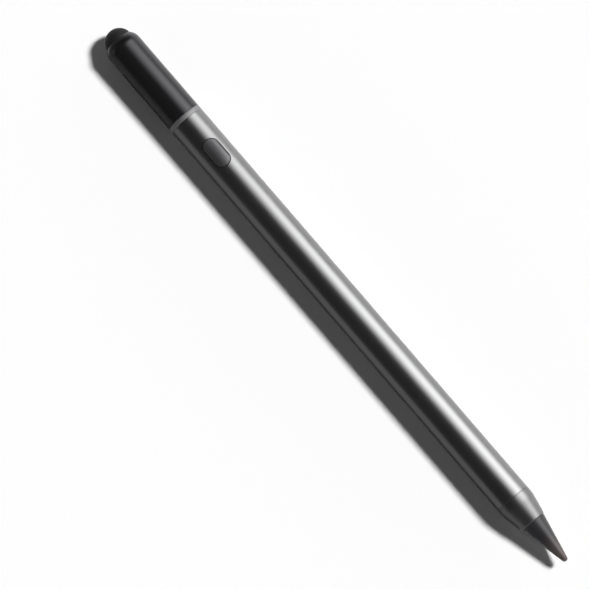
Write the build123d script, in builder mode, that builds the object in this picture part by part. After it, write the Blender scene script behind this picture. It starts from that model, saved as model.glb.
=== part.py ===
from build123d import *
import os
from math import acos, asin, atan2, cos, degrees, radians, sin, sqrt, tan

# A rechargeable stylus pen, in millimetres. It lies along X with its nib towards +X and its power
# button on top. The barrel's underside touches z = 0, and x = 0 is half way along the pen.

# Barrel, its rear trim ring and the edges that are broken on both
BARREL_OD = 9.0
BARREL_WALL = 0.6
BARREL_LENGTH = 118.5
RING_WIDTH = 1.2
EDGE_BREAK = 0.1

# Nose cone: a straight land, a blend and a taper, with a spigot that goes into the barrel
NOSE_LENGTH = 7.2
NOSE_LAND = 0.95
NOSE_BLEND_RADIUS = 8.4
NOSE_TAPER = 11.3
NOSE_SPIGOT_LENGTH = 6.0

# Nib with its metal core, the stud that it screws on and the bush that insulates the stud
NIB_LENGTH = 12.1
NIB_STEP = 0.17
NIB_TIP_RADIUS = 0.76
NIB_TIP_COVER = 1.8
NIB_COVER = 0.48
CORE_WALL = 0.6
CORE_REACH = 4.0
CORE_SEAT_DEPTH = 2.0
CORE_END_WALL = 0.3
CORE_PIN_OD = 1.0
STUD_END_GAP = 0.3
STUD_FLANGE_LIP = 0.65
STUD_FLANGE_THICKNESS = 0.6
BUSH_WALL = 0.55
BUSH_RECESS = 0.15
BUSH_FLANGE_GAP = 0.7
BUSH_FLANGE_THICKNESS = 0.8

# Pull-off cap and the soft touch tip in its closed end
CAP_LENGTH = 24.1
CAP_END_RADIUS = 3.4
CAP_SHOULDER = 1.0
CAP_MOUTH_WALL = 0.4
CAP_WALL = 0.9
CAP_END_WALL = 1.4
CAP_STEP_GAP = 0.3
TIP_STANDOUT = 3.1
TIP_CROWN = 2.85
TIP_RECESS_DEPTH = 1.0
TIP_STEM_OD = 2.6
TIP_HEAD_OD = 3.6
TIP_HEAD_LENGTH = 1.2
RETAINER_GAP = 0.8
RETAINER_THICKNESS = 0.8

# Neck under the cap, with the charging socket in its end and a seal ring at its root
NECK_LENGTH = 8.5
NECK_SPIGOT_LENGTH = 5.0
PORT_WIDTH = 8.34
PORT_HEIGHT = 2.56
PORT_DEPTH = 6.2
PORT_SIDE_RELIEF = 1.9
PORT_BASE_MARGIN = 0.26
PORT_BASE_THICKNESS = 1.2
PORT_TONGUE_WIDTH = 6.69
PORT_TONGUE_THICKNESS = 0.7
PORT_TONGUE_LENGTH = 4.4
PORT_TONGUE_ROUND = 0.2
CONTACT_PITCH = 0.5
CONTACTS_PER_SIDE = 12
CONTACT_WIDTH = 0.26
CONTACT_LENGTH = 3.2
CONTACT_THICKNESS = 0.06
SEAL_WIDTH = 0.6
SEAL_HEIGHT = 0.56
SEAL_GROOVE_DEPTH = 0.55
SEAL_GROOVE_SIDE = 0.05
SEAL_SETBACK = 1.1

# Power button in its window, and the switch under it
BUTTON_SETBACK = 10.9
WINDOW_LENGTH = 7.75
WINDOW_WIDTH = 4.15
WINDOW_CORNER = 1.9
WINDOW_EDGE_BREAK = 0.08
BUTTON_GAP = 0.12
BUTTON_PROUD = 0.2
BUTTON_TRAVEL = 0.25
BUTTON_EDGE_BREAK = 0.15
BUTTON_FLANGE_OVERLAP = 0.45
BUTTON_FLANGE_THICKNESS = 0.7
BUTTON_POST_OD = 1.8
BUTTON_POST_LENGTH = 0.4
SWITCH_LENGTH = 3.2
SWITCH_WIDTH = 2.8
SWITCH_BASE_HEIGHT = 0.85
SWITCH_PLATE_THICKNESS = 0.15
SWITCH_WELL_OD = 2.1
PLUNGER_OD = 1.4
PLUNGER_FLANGE_OD = 1.9
PLUNGER_FLANGE_THICKNESS = 0.25
PLUNGER_STANDOUT = 0.4
DOME_LENGTH = 1.6
DOME_WIDTH = 1.0
DOME_THICKNESS = 0.05

# Inner chassis, cell and circuit boards
CHASSIS_WALL = 0.43
CHASSIS_RIB = 0.8
CHASSIS_END_PLAY = 0.1
CHARGE_BAY_LENGTH = 28.0
DRIVER_BAY_LENGTH = 40.7
CELL_RIM_BREAK = 0.4
PAD_THICKNESS = 1.0
BOARD_THICKNESS = 0.8
BOARD_TAIL_WIDTH = 5.2
BOARD_EDGE_GAP = 0.2
BOARD_CELL_GAP = 1.5
BOARD_CONTACT_GAP = 0.3
CHIP_CHAMFER = 0.12
CHARGE_CHIP_SIZE = 3.0
CHARGE_CHIP_HEIGHT = 0.75
DRIVER_CHIP_SIZE = 4.0
DRIVER_CHIP_HEIGHT = 0.85
INDUCTOR_SIZE = 3.0
INDUCTOR_HEIGHT = 1.2
INDUCTOR_CORNER = 0.5
CRYSTAL_LENGTH = 2.0
CRYSTAL_WIDTH = 1.6
CRYSTAL_HEIGHT = 0.5
COMPONENT_SPACE = 1.5
CAPACITOR_LENGTH = 1.0
CAPACITOR_WIDTH = 0.5
CAPACITOR_HEIGHT = 0.5
CAPACITOR_PITCH = 1.5
CAPACITORS_PER_ROW = 3
CAPACITOR_CHIP_GAP = 0.5

# Strips that carry current: flat cable, cell tabs, ground spring and stud contact
FLEX_THICKNESS = 0.12
FLEX_SIDE_GAP = 0.1
FLEX_FOOT = 3.0
FLEX_CELL_GAP = 0.4
FLEX_BEND = 0.6
TAB_THICKNESS = 0.15
TAB_WIDTH = 1.2
TAB_FOOT = 2.5
TAB_LEG = 1.0
SPRING_THICKNESS = 0.2
SPRING_WIDTH = 1.2
SPRING_FOOT = 2.0
SPRING_RISE = 3.0
SPRING_CREST = 1.4
SPRING_BEND = 0.5
CONTACT_FOOT = 2.6
CONTACT_STRIP_WIDTH = 1.6
CONTACT_LEG = 1.0

# Clearances, and the difference below which two sizes count as one
RUNNING_FIT = 0.03
SLIP_FIT = 0.05
BOND_GAP = 0.02
SAME_SIZE = 1e-6

# Radii that follow
barrel_r = BARREL_OD / 2
bore_r = barrel_r - BARREL_WALL
spigot_r = bore_r - BOND_GAP
cap_mouth_r = barrel_r - CAP_MOUTH_WALL
cap_bore_r = barrel_r - CAP_WALL
recess_r = barrel_r - CAP_SHOULDER
tip_r = recess_r - SLIP_FIT
neck_r = cap_mouth_r - RUNNING_FIT
chassis_r = bore_r - SLIP_FIT
trough_r = chassis_r - CHASSIS_WALL
cell_r = trough_r - BOND_GAP

# The nose's taper sets the nib's, and the nib leaves room for its core, the stud and the bush
nose_taper = radians(NOSE_TAPER)
nose_cone_length = NOSE_LENGTH - NOSE_LAND - NOSE_BLEND_RADIUS * sin(nose_taper)
nose_front_r = barrel_r - NOSE_BLEND_RADIUS * (1 - cos(nose_taper)) - nose_cone_length * tan(nose_taper)
nib_base_r = nose_front_r - NIB_STEP
nib_reach = NIB_LENGTH - NIB_TIP_RADIUS
nib_taper = atan2(nib_base_r, nib_reach) - asin(NIB_TIP_RADIUS / sqrt(nib_reach ** 2 + nib_base_r ** 2))
core_r = nib_base_r - CORE_REACH * tan(nib_taper) - NIB_COVER
stud_r = core_r - CORE_WALL - SLIP_FIT
bush_r = core_r + SLIP_FIT + BUSH_WALL

# Heights above the pen's axis, down from the button's flange through the switch to the boards
flange_r = bore_r - SLIP_FIT
flange_length = WINDOW_LENGTH + 2 * BUTTON_FLANGE_OVERLAP
flange_width = WINDOW_WIDTH + 2 * BUTTON_FLANGE_OVERLAP
flange_under = sqrt(flange_r ** 2 - (flange_width / 2) ** 2) - BUTTON_FLANGE_THICKNESS
plunger_top = flange_under - BUTTON_POST_LENGTH
switch_base_top = plunger_top - PLUNGER_STANDOUT - SWITCH_PLATE_THICKNESS
well_floor = switch_base_top - PLUNGER_FLANGE_THICKNESS - SLIP_FIT - DOME_THICKNESS - BUTTON_TRAVEL
board_top = switch_base_top - SWITCH_BASE_HEIGHT
board_under = board_top - BOARD_THICKNESS
board_width = 2 * (sqrt(chassis_r ** 2 - board_under ** 2) - BOARD_EDGE_GAP)

# Stations along the pen, from the touch tip to the nib
overall_length = TIP_STANDOUT + CAP_LENGTH + RING_WIDTH + BARREL_LENGTH + NOSE_LENGTH + NIB_LENGTH
x_tip = -overall_length / 2
x_cap_end = x_tip + TIP_STANDOUT
x_ring = x_cap_end + CAP_LENGTH
x_barrel_rear = x_ring + RING_WIDTH
x_barrel_front = x_barrel_rear + BARREL_LENGTH
x_nose_rear = x_barrel_front - NOSE_SPIGOT_LENGTH
x_nose_front = x_barrel_front + NOSE_LENGTH
x_nib_tip = x_nose_front + NIB_LENGTH
x_recess = x_cap_end + TIP_RECESS_DEPTH
x_end_wall = x_recess + CAP_END_WALL
x_retainer = x_end_wall + RETAINER_THICKNESS
x_neck_end = x_ring - NECK_LENGTH
x_cap_step = x_neck_end - CAP_STEP_GAP
x_port_floor = x_neck_end + PORT_DEPTH
x_neck_front = x_barrel_rear + NECK_SPIGOT_LENGTH
x_button = x_barrel_rear + BUTTON_SETBACK
x_cell_rear = x_barrel_rear + CHARGE_BAY_LENGTH
x_cell_front = x_barrel_front - DRIVER_BAY_LENGTH
x_bush_front = x_nose_front - BUSH_RECESS
x_bush_rear = x_nose_rear - BUSH_FLANGE_THICKNESS
x_stud_rear = x_bush_rear - STUD_FLANGE_THICKNESS
x_core_rear = x_nose_front - CORE_SEAT_DEPTH
x_core_front = x_nose_front + CORE_REACH
x_core_bore_end = x_core_front - CORE_END_WALL
x_stud_front = x_core_bore_end - STUD_END_GAP
x_pin_end = x_nib_tip - NIB_TIP_COVER
x_charge_board_rear = x_neck_front + CHASSIS_END_PLAY
x_charge_board_front = x_cell_rear - BOARD_CELL_GAP
x_driver_board_rear = x_cell_front + BOARD_CELL_GAP
x_driver_board_front = x_stud_rear - SPRING_THICKNESS - BOARD_CONTACT_GAP

axis_z = barrel_r
pen_axis = Axis((0, 0, axis_z), (1, 0, 0))

# Plane along the pen through its axis: local x is the station and local y the height above the axis
lengthwise = Plane(origin=(0, 0, axis_z), x_dir=(1, 0, 0), z_dir=(0, -1, 0))


def across(x):
    """Plane square to the pen at station x, facing the nib, with local y upwards."""
    return Plane(origin=(x, 0, axis_z), x_dir=(0, 1, 0), z_dir=(1, 0, 0))


def level(x, height):
    """Level plane at station x, at a height above the pen's axis, with local x along the pen."""
    return Plane(origin=(x, 0, axis_z + height))


def outer_rim(part, x, radius):
    """The circular edge of a turned part at station x that has the given radius."""
    rims = part.edges().filter_by(GeomType.CIRCLE)
    rims_here = rims.filter_by(lambda edge: abs(edge.center().X - x) < SAME_SIZE)
    return rims_here.filter_by(lambda edge: abs(edge.radius - radius) < SAME_SIZE)


def save(builder, name):
    """Label a finished piece and write its STEP file."""
    builder.part.label = name
    export_step(builder.part, f"parts/{name}.step")


os.makedirs("parts", exist_ok=True)

# Barrel: a drawn tube with a window for the button in its top
with BuildPart() as barrel:
    with BuildSketch(across(x_barrel_rear)):
        Circle(barrel_r)
        Circle(bore_r, mode=Mode.SUBTRACT)
    extrude(amount=BARREL_LENGTH)
    chamfer(outer_rim(barrel, x_barrel_rear, barrel_r), EDGE_BREAK)
    chamfer(outer_rim(barrel, x_barrel_front, barrel_r), EDGE_BREAK)
    with BuildSketch(level(x_button, 0)):
        RectangleRounded(WINDOW_LENGTH, WINDOW_WIDTH, WINDOW_CORNER)
    extrude(amount=BARREL_OD, mode=Mode.SUBTRACT)
    outside = barrel.faces().filter_by(GeomType.CYLINDER).sort_by(SortBy.AREA)[-1]
    chamfer(outside.inner_wires()[0].edges(), WINDOW_EDGE_BREAK)
save(barrel, "barrel")

# Trim ring, trapped between the neck's shoulder and the barrel
with BuildPart() as trim_ring:
    with BuildSketch(across(x_ring)):
        Circle(barrel_r)
        Circle(bore_r, mode=Mode.SUBTRACT)
    extrude(amount=RING_WIDTH)
    chamfer(outer_rim(trim_ring, x_ring, barrel_r), EDGE_BREAK)
    chamfer(outer_rim(trim_ring, x_barrel_rear, barrel_r), EDGE_BREAK)
save(trim_ring, "trim_ring")

# Nose cone: land, blend and taper outside, spigot and bush bore inside
with BuildPart() as nose_cone:
    with BuildSketch(lengthwise):
        with BuildLine():
            land = Line((x_barrel_front, barrel_r), (x_barrel_front + NOSE_LAND, barrel_r))
            blend = JernArc(land @ 1, (1, 0), NOSE_BLEND_RADIUS, -NOSE_TAPER)
            cone = Line(blend @ 1, (x_nose_front, nose_front_r))
            Polyline(
                cone @ 1,
                (x_nose_front, bush_r),
                (x_nose_rear, bush_r),
                (x_nose_rear, spigot_r),
                (x_barrel_front, spigot_r),
                land @ 0,
            )
        make_face()
    revolve(axis=pen_axis)
    chamfer(outer_rim(nose_cone, x_barrel_front, barrel_r), EDGE_BREAK)
    chamfer(outer_rim(nose_cone, x_nose_front, nose_front_r), EDGE_BREAK)
save(nose_cone, "nose_cone")

# Bush that keeps the live stud off the metal nose, with a seat for the nib's core
with BuildPart() as stud_bush:
    with BuildSketch(lengthwise):
        with BuildLine():
            Polyline(
                (x_bush_rear, stud_r + BOND_GAP),
                (x_bush_rear, bore_r - BUSH_FLANGE_GAP),
                (x_nose_rear, bore_r - BUSH_FLANGE_GAP),
                (x_nose_rear, bush_r - BOND_GAP),
                (x_bush_front, bush_r - BOND_GAP),
                (x_bush_front, core_r + SLIP_FIT),
                (x_core_rear - SLIP_FIT, core_r + SLIP_FIT),
                (x_core_rear - SLIP_FIT, stud_r + BOND_GAP),
                close=True,
            )
        make_face()
    revolve(axis=pen_axis)
save(stud_bush, "stud_bush")

# Stud that the nib screws on, with a flange behind the bush
with BuildPart() as nib_stud:
    with BuildSketch(across(x_stud_rear)):
        Circle(stud_r + STUD_FLANGE_LIP)
    extrude(amount=STUD_FLANGE_THICKNESS)
    with BuildSketch(across(x_bush_rear)):
        Circle(stud_r)
    extrude(amount=x_stud_front - x_bush_rear)
    chamfer(outer_rim(nib_stud, x_stud_front, stud_r), EDGE_BREAK)
save(nib_stud, "nib_stud")

# Metal core inside the nib: a threaded socket for the stud and a pin that runs towards the point
with BuildPart() as nib_core:
    with BuildSketch(lengthwise):
        with BuildLine():
            Polyline(
                (x_core_rear, stud_r + SLIP_FIT),
                (x_core_rear, core_r),
                (x_core_front, core_r),
                (x_core_front, CORE_PIN_OD / 2),
                (x_pin_end, CORE_PIN_OD / 2),
                (x_pin_end, 0),
                (x_core_bore_end, 0),
                (x_core_bore_end, stud_r + SLIP_FIT),
                close=True,
            )
        make_face()
    revolve(axis=pen_axis)
save(nib_core, "nib_core")

# Nib: a cone that ends in a ball, moulded round its core
with BuildPart() as nib:
    with BuildSketch(lengthwise):
        with BuildLine():
            ball = CenterArc((x_nose_front + nib_reach, 0), NIB_TIP_RADIUS, 0, 90 - degrees(nib_taper))
            Polyline(
                ball @ 1,
                (x_nose_front, nib_base_r),
                (x_nose_front, core_r),
                (x_core_front, core_r),
                (x_core_front, CORE_PIN_OD / 2),
                (x_pin_end, CORE_PIN_OD / 2),
                (x_pin_end, 0),
                ball @ 0,
            )
        make_face()
    revolve(axis=pen_axis)
save(nib, "nib")

# Cap: a thin mouth over the neck, a thicker body and a rounded end with a recess for the touch tip
shoulder_turn = degrees(acos(1 - CAP_SHOULDER / CAP_END_RADIUS))
x_shoulder = x_cap_end + CAP_END_RADIUS * sin(radians(shoulder_turn))
with BuildPart() as cap_shell:
    with BuildSketch(lengthwise):
        with BuildLine():
            wall = Line((x_ring, barrel_r), (x_shoulder, barrel_r))
            shoulder = JernArc(wall @ 1, (-1, 0), CAP_END_RADIUS, shoulder_turn)
            Polyline(
                shoulder @ 1,
                (x_recess, recess_r),
                (x_recess, TIP_STEM_OD / 2),
                (x_end_wall, TIP_STEM_OD / 2),
                (x_end_wall, cap_bore_r),
                (x_cap_step, cap_bore_r),
                (x_cap_step, cap_mouth_r),
                (x_ring, cap_mouth_r),
                wall @ 0,
            )
        make_face()
    revolve(axis=pen_axis)
    chamfer(outer_rim(cap_shell, x_ring, barrel_r), EDGE_BREAK)
save(cap_shell, "cap_shell")

# Touch tip: a soft dome whose stem goes through the cap's end and swells behind the retainer
tip_ball_radius = (tip_r ** 2 + TIP_CROWN ** 2) / (2 * TIP_CROWN)
tip_ball_turn = degrees(acos(1 - TIP_CROWN / tip_ball_radius))
with BuildPart() as touch_tip:
    with BuildSketch(lengthwise):
        with BuildLine():
            crown = CenterArc((x_tip + tip_ball_radius, 0), tip_ball_radius, 180, -tip_ball_turn)
            Polyline(
                crown @ 1,
                (x_recess, tip_r),
                (x_recess, TIP_STEM_OD / 2 - BOND_GAP),
                (x_retainer, TIP_STEM_OD / 2 - BOND_GAP),
                (x_retainer, TIP_HEAD_OD / 2),
                (x_retainer + TIP_HEAD_LENGTH, TIP_HEAD_OD / 2),
                (x_retainer + TIP_HEAD_LENGTH, 0),
                crown @ 0,
            )
        make_face()
    revolve(axis=pen_axis)
save(touch_tip, "touch_tip")

# Washer that holds the tip's stem and joins it electrically to the cap
with BuildPart() as tip_retainer:
    with BuildSketch(across(x_end_wall)):
        Circle(cap_bore_r - RETAINER_GAP)
        Circle(TIP_STEM_OD / 2, mode=Mode.SUBTRACT)
    extrude(amount=RETAINER_THICKNESS)
save(tip_retainer, "tip_retainer")

# Neck: a spigot in the ring and barrel, a seal groove at the root and the socket in the end.
# The plug is as wide as the neck, so the socket's two narrow ends are open at the neck's sides.
seal_groove_r = neck_r - SEAL_GROOVE_DEPTH
x_seal = x_ring - SEAL_SETBACK
with BuildPart() as port_neck:
    with BuildSketch(across(x_neck_end)):
        Circle(neck_r)
    extrude(amount=NECK_LENGTH)
    chamfer(outer_rim(port_neck, x_neck_end, neck_r), EDGE_BREAK)
    with BuildSketch(across(x_ring)):
        Circle(spigot_r)
    extrude(amount=x_neck_front - x_ring)
    with BuildSketch(across(x_neck_end)):
        SlotOverall(PORT_WIDTH, PORT_HEIGHT)
        Rectangle(2 * neck_r, PORT_SIDE_RELIEF)
    extrude(amount=PORT_DEPTH, mode=Mode.SUBTRACT)
    with BuildSketch(across(x_port_floor)):
        with Locations((0, (board_top + board_under) / 2)):
            Rectangle(BOARD_TAIL_WIDTH + 2 * SLIP_FIT, BOARD_THICKNESS + 2 * SLIP_FIT)
    extrude(amount=x_neck_front - x_port_floor, mode=Mode.SUBTRACT)
    with BuildSketch(lengthwise):
        with Locations((x_seal, (seal_groove_r + barrel_r) / 2)):
            Rectangle(SEAL_WIDTH + 2 * SEAL_GROOVE_SIDE, barrel_r - seal_groove_r)
    revolve(axis=pen_axis, mode=Mode.SUBTRACT)
save(port_neck, "port_neck")

# Socket tongue on its base, and the contact strips on both of its faces
x_tongue_root = x_port_floor - PORT_BASE_THICKNESS
port_base_width = 2 * (sqrt(neck_r ** 2 - (PORT_HEIGHT / 2) ** 2) - PORT_BASE_MARGIN)
with BuildPart() as port_tongue:
    with BuildSketch(across(x_tongue_root)):
        SlotOverall(port_base_width, PORT_HEIGHT)
    extrude(amount=PORT_BASE_THICKNESS)
    with BuildSketch(across(x_tongue_root)):
        Rectangle(PORT_TONGUE_WIDTH, PORT_TONGUE_THICKNESS)
    extrude(amount=-PORT_TONGUE_LENGTH)
    tongue_end = port_tongue.faces().sort_by(Axis.X)[0]
    fillet(tongue_end.edges(), PORT_TONGUE_ROUND)
save(port_tongue, "port_tongue")

with BuildPart() as port_contacts:
    for side in (1, -1):
        contact_plane = level(x_tongue_root - CONTACT_LENGTH / 2, side * PORT_TONGUE_THICKNESS / 2)
        with BuildSketch(contact_plane):
            with GridLocations(0, CONTACT_PITCH, 1, CONTACTS_PER_SIDE):
                Rectangle(CONTACT_LENGTH, CONTACT_WIDTH)
        extrude(amount=side * CONTACT_THICKNESS)
save(port_contacts, "port_contacts")

# Square-cut seal ring in the neck's groove, which grips the cap
with BuildPart() as neck_seal:
    with BuildSketch(across(x_seal)):
        Circle(seal_groove_r + SEAL_HEIGHT)
        Circle(seal_groove_r, mode=Mode.SUBTRACT)
    extrude(amount=SEAL_WIDTH / 2, both=True)
save(neck_seal, "neck_seal")

# Power button: a key that follows the barrel's curve, a flange that the bore holds in, and a post
key_r = barrel_r + BUTTON_PROUD
key_length = WINDOW_LENGTH - 2 * BUTTON_GAP
key_width = WINDOW_WIDTH - 2 * BUTTON_GAP
key_corner = WINDOW_CORNER - BUTTON_GAP
with BuildPart() as power_button:
    with BuildSketch(level(x_button, flange_under)):
        RectangleRounded(flange_length, flange_width, WINDOW_CORNER + BUTTON_FLANGE_OVERLAP)
    extrude(amount=flange_r)
    with BuildSketch(lengthwise):
        with Locations((x_button, flange_r + BARREL_OD / 2)):
            Rectangle(2 * flange_length, BARREL_OD)
    revolve(axis=pen_axis, mode=Mode.SUBTRACT)
    with BuildSketch(level(x_button, flange_under)):
        RectangleRounded(key_length, key_width, key_corner)
    extrude(amount=key_r)
    with BuildSketch(lengthwise):
        with Locations((x_button, key_r + BARREL_OD / 2)):
            Rectangle(2 * flange_length, BARREL_OD)
    revolve(axis=pen_axis, mode=Mode.SUBTRACT)
    key_top = power_button.faces().sort_by(Axis.Z)[-1]
    chamfer(key_top.edges(), BUTTON_EDGE_BREAK)
    with BuildSketch(level(x_button, plunger_top)):
        Circle(BUTTON_POST_OD / 2)
    extrude(amount=BUTTON_POST_LENGTH)
save(power_button, "power_button")

# Switch under the button: a base with a well, the snap dome in the well, a cover plate and the plunger
with BuildPart() as switch_base:
    with BuildSketch(level(x_button, board_top)):
        Rectangle(SWITCH_LENGTH, SWITCH_WIDTH)
    extrude(amount=SWITCH_BASE_HEIGHT)
    with BuildSketch(level(x_button, well_floor)):
        Circle(SWITCH_WELL_OD / 2)
    extrude(amount=SWITCH_BASE_HEIGHT, mode=Mode.SUBTRACT)
save(switch_base, "switch_base")

dome_rise = BUTTON_TRAVEL + DOME_THICKNESS
dome_radius = (DOME_LENGTH ** 2 / 4 + BUTTON_TRAVEL ** 2) / (2 * BUTTON_TRAVEL)
with BuildPart() as switch_dome:
    with BuildSketch(lengthwise):
        with Locations((x_button, well_floor + dome_rise - dome_radius)):
            Circle(dome_radius)
        with Locations((x_button, well_floor + BUTTON_TRAVEL - dome_radius)):
            Circle(dome_radius, mode=Mode.SUBTRACT)
        with Locations((x_button, well_floor + dome_rise / 2)):
            Rectangle(DOME_LENGTH, dome_rise, mode=Mode.INTERSECT)
    extrude(amount=DOME_WIDTH / 2, both=True)
save(switch_dome, "switch_dome")

with BuildPart() as switch_plate:
    with BuildSketch(level(x_button, switch_base_top)):
        Rectangle(SWITCH_LENGTH, SWITCH_WIDTH)
        Circle(PLUNGER_OD / 2 + SLIP_FIT, mode=Mode.SUBTRACT)
    extrude(amount=SWITCH_PLATE_THICKNESS)
save(switch_plate, "switch_plate")

with BuildPart() as switch_plunger:
    with BuildSketch(level(x_button, switch_base_top)):
        Circle(PLUNGER_FLANGE_OD / 2)
    extrude(amount=-PLUNGER_FLANGE_THICKNESS)
    with BuildSketch(level(x_button, switch_base_top)):
        Circle(PLUNGER_OD / 2)
    extrude(amount=plunger_top - switch_base_top)
save(switch_plunger, "switch_plunger")

# Chassis: an open trough that carries both boards on its rims and the cell between two bulkheads,
# with ribs under the boards where they are pressed
x_chassis_front = x_nose_rear - CHASSIS_END_PLAY
x_rear_bulkhead = x_cell_rear - PAD_THICKNESS - CHASSIS_RIB
x_front_bulkhead = x_cell_front + PAD_THICKNESS
x_button_rib = x_button - CHASSIS_RIB / 2
x_driver_rib = (x_driver_board_rear + x_driver_board_front - CHASSIS_RIB) / 2
with BuildPart() as chassis:
    with BuildSketch(across(x_charge_board_rear)):
        Circle(chassis_r)
        Circle(trough_r, mode=Mode.SUBTRACT)
        with Locations((0, board_under + chassis_r)):
            Rectangle(2 * chassis_r, 2 * chassis_r, mode=Mode.SUBTRACT)
    extrude(amount=x_chassis_front - x_charge_board_rear)
    rib_stations = (x_button_rib, x_rear_bulkhead, x_front_bulkhead, x_driver_rib)
    with BuildSketch(*(across(x) for x in rib_stations)):
        Circle(chassis_r)
        with Locations((0, board_under + chassis_r)):
            Rectangle(2 * chassis_r, 2 * chassis_r, mode=Mode.SUBTRACT)
    extrude(amount=CHASSIS_RIB)
save(chassis, "chassis")

# Round cell, and a foam pad at each end of it
with BuildPart() as battery_cell:
    with BuildSketch(across(x_cell_rear)):
        Circle(cell_r)
    extrude(amount=x_cell_front - x_cell_rear)
    chamfer(battery_cell.edges().filter_by(GeomType.CIRCLE), CELL_RIM_BREAK)
save(battery_cell, "battery_cell")

with BuildPart() as battery_pads:
    with BuildSketch(across(x_cell_rear - PAD_THICKNESS), across(x_cell_front)):
        Circle(cell_r)
        with Locations((0, board_under + cell_r)):
            Rectangle(2 * cell_r, 2 * cell_r, mode=Mode.SUBTRACT)
    extrude(amount=PAD_THICKNESS)
save(battery_pads, "battery_pads")

# Charging board with a tail that reaches through the neck to the socket, and its chip
with BuildPart() as charge_board:
    with BuildSketch(level(0, board_under)):
        with BuildLine():
            Polyline(
                (x_port_floor, BOARD_TAIL_WIDTH / 2),
                (x_charge_board_rear, BOARD_TAIL_WIDTH / 2),
                (x_charge_board_rear, board_width / 2),
                (x_charge_board_front, board_width / 2),
                (x_charge_board_front, -board_width / 2),
                (x_charge_board_rear, -board_width / 2),
                (x_charge_board_rear, -BOARD_TAIL_WIDTH / 2),
                (x_port_floor, -BOARD_TAIL_WIDTH / 2),
                close=True,
            )
        make_face()
    extrude(amount=BOARD_THICKNESS)
save(charge_board, "charge_board")

x_charge_flex_end = x_charge_board_front - BOARD_EDGE_GAP
x_charge_flex_start = x_charge_flex_end - FLEX_FOOT
x_charge_chip = (x_button + SWITCH_LENGTH / 2 + x_charge_flex_start) / 2
with BuildPart() as charge_chip:
    with BuildSketch(level(x_charge_chip, board_top)):
        Rectangle(CHARGE_CHIP_SIZE, CHARGE_CHIP_SIZE)
    extrude(amount=CHARGE_CHIP_HEIGHT)
    chamfer(charge_chip.faces().sort_by(Axis.Z)[-1].edges(), CHIP_CHAMFER)
save(charge_chip, "charge_chip")

# Driver board in the nose end
with BuildPart() as driver_board:
    with BuildSketch(level((x_driver_board_rear + x_driver_board_front) / 2, board_under)):
        Rectangle(x_driver_board_front - x_driver_board_rear, board_width)
    extrude(amount=BOARD_THICKNESS)
save(driver_board, "driver_board")

# Flat cable from board to board over the cell, between the cell's two tabs
tab_y = sqrt((cell_r - CELL_RIM_BREAK) ** 2 - (board_top + TAB_LEG) ** 2) - SLIP_FIT - TAB_WIDTH / 2
flex_width = 2 * (tab_y - TAB_WIDTH / 2 - FLEX_SIDE_GAP)
flex_low = board_top + FLEX_THICKNESS / 2
flex_high = cell_r + BOND_GAP + FLEX_THICKNESS / 2
x_driver_flex_start = x_driver_board_rear + BOARD_EDGE_GAP
x_driver_flex_end = x_driver_flex_start + FLEX_FOOT
with BuildPart() as flex_cable:
    with BuildSketch(lengthwise):
        with BuildLine() as flex_route:
            FilletPolyline(
                (x_charge_flex_start, flex_low),
                (x_charge_flex_end, flex_low),
                (x_cell_rear - FLEX_CELL_GAP, flex_high),
                (x_cell_front + FLEX_CELL_GAP, flex_high),
                (x_driver_flex_start, flex_low),
                (x_driver_flex_end, flex_low),
                radius=FLEX_BEND,
            )
        trace(flex_route.edges(), line_width=FLEX_THICKNESS)
    extrude(amount=flex_width / 2, both=True)
save(flex_cable, "flex_cable")

# Tabs from the cell's rear end to the charging board, one each side of the flat cable
x_tab_leg = x_cell_rear - TAB_THICKNESS
with BuildPart() as battery_tabs:
    for side in (1, -1):
        with BuildSketch(lengthwise.offset(side * tab_y)):
            with BuildLine():
                Polyline(
                    (x_charge_board_front - TAB_FOOT, board_top),
                    (x_cell_rear, board_top),
                    (x_cell_rear, board_top + TAB_LEG),
                    (x_tab_leg, board_top + TAB_LEG),
                    (x_tab_leg, board_top + TAB_THICKNESS),
                    (x_charge_board_front - TAB_FOOT, board_top + TAB_THICKNESS),
                    close=True,
                )
            make_face()
        extrude(amount=TAB_WIDTH / 2, both=True)
save(battery_tabs, "battery_tabs")

# Spring that joins the driver board's ground to the barrel
spring_low = board_top + SPRING_THICKNESS / 2
spring_high = sqrt(bore_r ** 2 - (SPRING_WIDTH / 2) ** 2) - BOND_GAP - SPRING_THICKNESS / 2
x_spring_foot = x_driver_flex_end + COMPONENT_SPACE
x_spring_rise = x_spring_foot + SPRING_FOOT
x_spring_crest = x_spring_rise + SPRING_RISE
x_spring_end = x_spring_crest + SPRING_CREST
with BuildPart() as ground_spring:
    with BuildSketch(lengthwise):
        with BuildLine() as spring_route:
            FilletPolyline(
                (x_spring_foot, spring_low),
                (x_spring_rise, spring_low),
                (x_spring_crest, spring_high),
                (x_spring_end, spring_high),
                radius=SPRING_BEND,
            )
        trace(spring_route.edges(), line_width=SPRING_THICKNESS)
    extrude(amount=SPRING_WIDTH / 2, both=True)
save(ground_spring, "ground_spring")

# Contact strip from the driver board to the stud's flange
x_contact_foot = x_driver_board_front - CONTACT_FOOT
x_contact_leg = x_stud_rear - SPRING_THICKNESS
with BuildPart() as stud_contact:
    with BuildSketch(lengthwise):
        with BuildLine():
            Polyline(
                (x_contact_foot, board_top),
                (x_contact_leg, board_top),
                (x_contact_leg, board_top - CONTACT_LEG),
                (x_stud_rear, board_top - CONTACT_LEG),
                (x_stud_rear, board_top + SPRING_THICKNESS),
                (x_contact_foot, board_top + SPRING_THICKNESS),
                close=True,
            )
        make_face()
    extrude(amount=CONTACT_STRIP_WIDTH / 2, both=True)
save(stud_contact, "stud_contact")

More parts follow.
